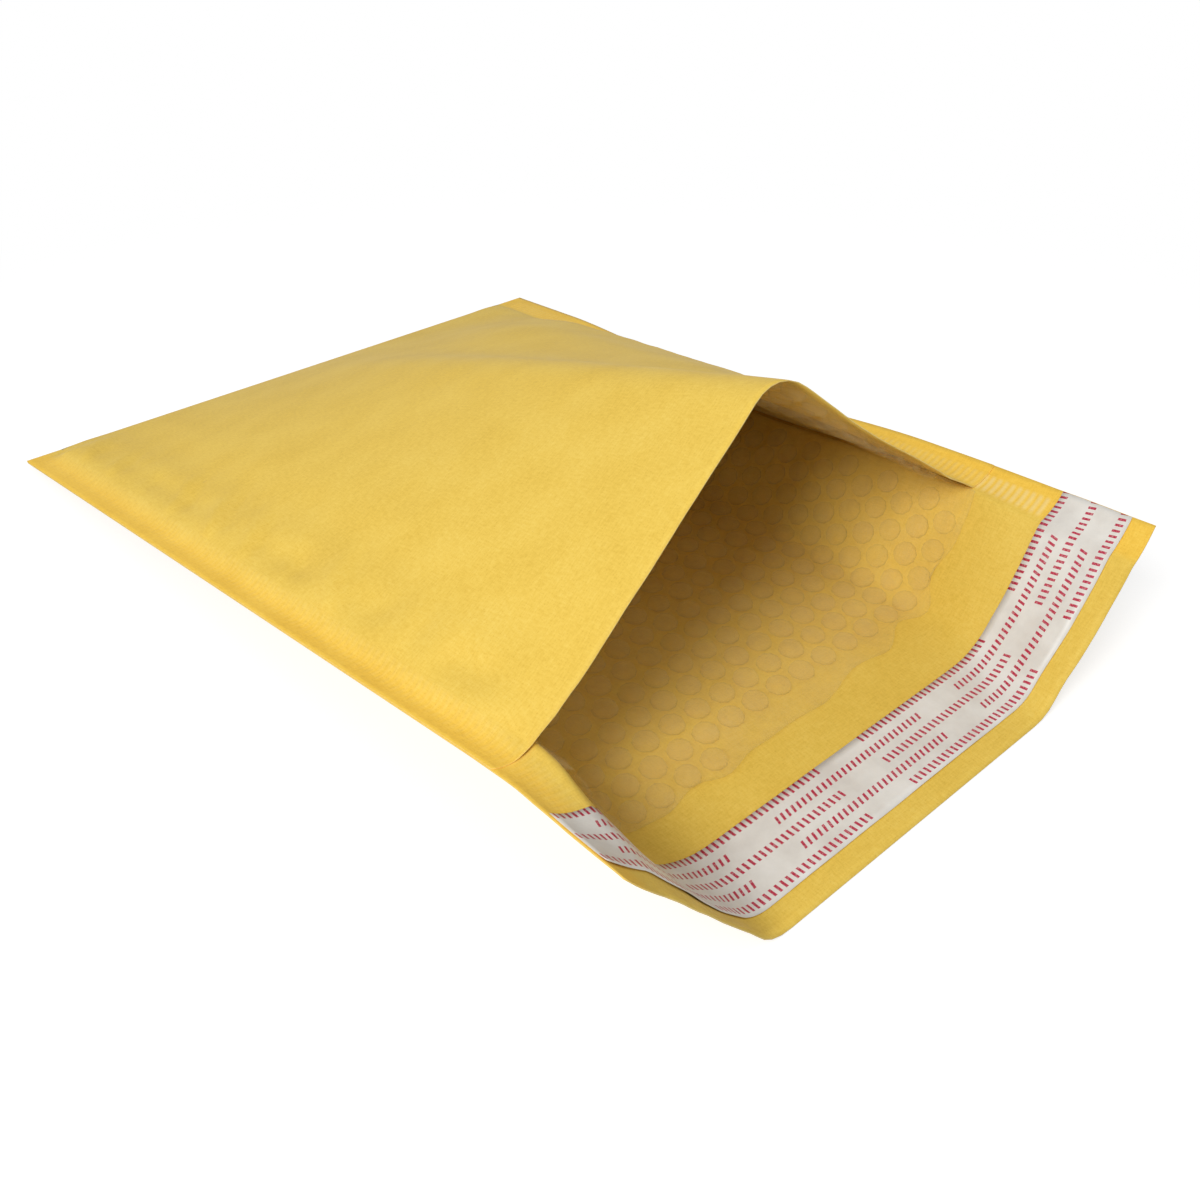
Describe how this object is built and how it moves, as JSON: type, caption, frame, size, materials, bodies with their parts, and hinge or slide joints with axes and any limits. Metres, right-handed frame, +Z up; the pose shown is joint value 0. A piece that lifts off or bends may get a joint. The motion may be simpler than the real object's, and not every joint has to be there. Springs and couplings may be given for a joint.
{
  "type": "padded envelope",
  "caption": "Kraft bubble mailer lying open: tented mouth, sealed side seams, folded bubble lining, and a curled flap with an adhesive band under its release strip",
  "frame": {"origin": "on the flat underside of the bottom panel where it lies on the table, at the middle of the mouth line", "axes": "+X across the envelope, +Y along it from the mouth to the folded closed end, +Z up from the table"},
  "size_m": [0.275, 0.386, 0.1099],
  "materials": {
    "kraft_paper": "golden kraft paper, matte, softly creased, with a paler cut edge",
    "bubble_film": "clear milky bubble film, glossy",
    "hot_melt": "pale hot-melt adhesive, satin",
    "release_paper": "coated off-white release paper, satin"
  },
  "bodies": {
    "root": {"kraft_shell": "kraft_paper", "bubble_lining": "bubble_film", "adhesive_strip": "hot_melt", "release_liner": "release_paper"}
  },
  "joints": []
}
